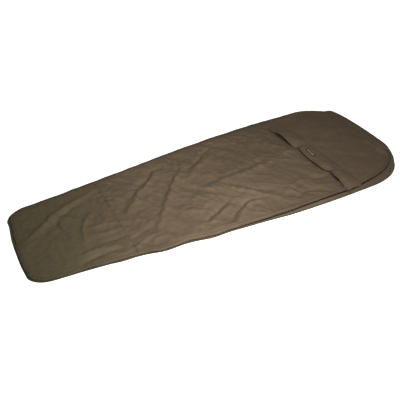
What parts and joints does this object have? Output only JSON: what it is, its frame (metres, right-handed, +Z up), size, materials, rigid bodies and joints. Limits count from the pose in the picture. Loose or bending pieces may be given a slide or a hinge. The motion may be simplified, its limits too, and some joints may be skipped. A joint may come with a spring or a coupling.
{
  "type": "bivy sack",
  "caption": "Flat tapered bivy sack with a boxed hood, a zip across the chest and a storm flap over it, lying empty on the ground.",
  "frame": {"origin": "on the ground under the middle of the sack's bounding box", "axes": "+X from the foot end to the head end, +Y across to the side where the far wall leans in, +Z up"},
  "size_m": [2.3, 0.913, 0.1017],
  "materials": {
    "shell_fabric": "matt olive-brown laminate, fine plain weave with a faint sheen",
    "floor_fabric": "coated olive-brown cloth, slightly smoother",
    "zip_tape": "woven polyester tape",
    "zip_chain": "moulded olive-drab plastic teeth",
    "zip_metal": "enamelled zinc",
    "patch_fabric": "hook-and-loop tape",
    "label_fabric": "woven ribbon with a plain light bar",
    "sealing_tape": "translucent heat-sealed tape"
  },
  "bodies": {
    "sack": {"floor_panel": "floor_fabric", "foot_wall": "shell_fabric", "side_wall_left": "shell_fabric", "side_wall_right": "shell_fabric", "head_wall": "shell_fabric", "foot_panel": "shell_fabric", "body_panel": "shell_fabric", "foot_seam_tape": "sealing_tape", "seam_tape_left": "sealing_tape", "seam_tape_right": "sealing_tape", "zip_tape_lower": "zip_tape", "zip_chain_lower": "zip_chain", "zip_stop_lower_left": "zip_metal", "zip_stop_lower_right": "zip_metal", "loop_patch_1": "patch_fabric", "loop_patch_2": "patch_fabric", "loop_patch_3": "patch_fabric"},
    "hood": {"hood_panel": "shell_fabric", "zip_tape_upper": "zip_tape", "zip_chain_upper": "zip_chain", "zip_stop_upper_left": "zip_metal", "zip_stop_upper_right": "zip_metal"},
    "flap": {"storm_flap": "shell_fabric", "woven_label": "label_fabric", "hook_patch_1": "patch_fabric", "hook_patch_2": "patch_fabric", "hook_patch_3": "patch_fabric"},
    "slider_left": {"zip_slider_left": "zip_metal"},
    "slider_right": {"zip_slider_right": "zip_metal"},
    "tab_left": {"pull_tab_left": "zip_metal"},
    "tab_right": {"pull_tab_right": "zip_metal"}
  },
  "joints": [
    {"name": "hood_lift", "type": "hinge", "parent": "sack", "child": "hood", "pos_m": [1.08674, 0, 0.10166], "axis": [0, 1, 0], "range_deg": [0, 25], "deforming": ["zip_chain_upper", "zip_tape_upper"]},
    {"name": "flap_fold", "type": "hinge", "parent": "hood", "child": "flap", "pos_m": [0.7, 0, 0.06006], "axis": [0, 1, 0], "range_deg": [0, 145]},
    {"name": "slider_left_run", "type": "slide", "parent": "sack", "child": "slider_left", "axis": [0, 1, 0], "range_m": [-0.545, 0]},
    {"name": "slider_right_run", "type": "slide", "parent": "sack", "child": "slider_right", "axis": [0, 1, 0], "range_m": [0, 0.125]},
    {"name": "tab_left_swing", "type": "hinge", "parent": "slider_left", "child": "tab_left", "pos_m": [0.625, 0.13895, 0.0533], "axis": [-1, 0, 0], "range_deg": [0, 110]},
    {"name": "tab_right_swing", "type": "hinge", "parent": "slider_right", "child": "tab_right", "pos_m": [0.625, 0.15605, 0.0533], "axis": [1, 0, 0], "range_deg": [0, 110]}
  ],
  "couplings": [
    {"joint": "slider_left_run", "follows": "hood_lift", "m_per_rad": -1.2375},
    {"joint": "slider_right_run", "follows": "hood_lift", "m_per_rad": 0.275}
  ]
}
